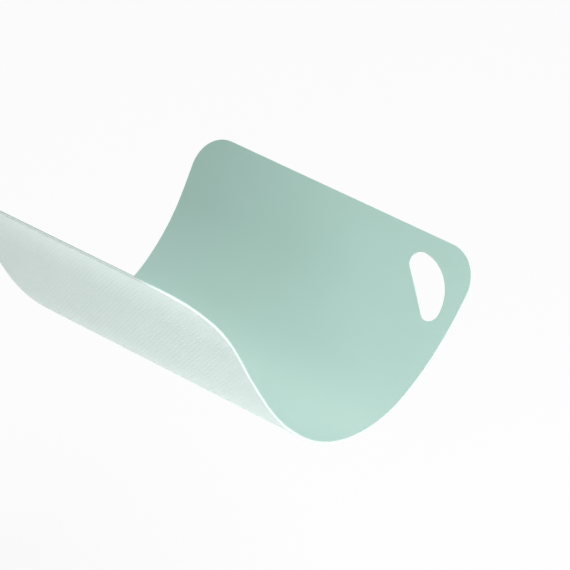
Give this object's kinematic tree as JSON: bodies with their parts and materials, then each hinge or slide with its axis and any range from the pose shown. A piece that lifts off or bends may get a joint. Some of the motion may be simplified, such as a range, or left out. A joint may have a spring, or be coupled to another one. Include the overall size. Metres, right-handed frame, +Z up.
{
  "type": "flexible cutting mat",
  "caption": "Thin flexible cutting mat held bent into a chute, with round corners, a D-shaped hanging hole in one corner and a textured non-slip backing.",
  "frame": {"origin": "under the middle of the mat's bounding box, level with the lowest line of its belly", "axes": "+X along the chute, which is the mat's short side, towards the end with the hanging hole; +Y across the chute, from the long near flap to the far flap with the hole; +Z up"},
  "size_m": [0.24, 0.275, 0.1539],
  "materials": {
    "cutting_face": "pale mint green polypropylene with a fine matt grain",
    "grip_backing": "milky white thermoplastic elastomer, smooth on the edge, with a fine raised grip pattern underneath"
  },
  "bodies": {
    "root": {"cutting_face": "cutting_face", "grip_backing": "grip_backing"}
  },
  "joints": []
}
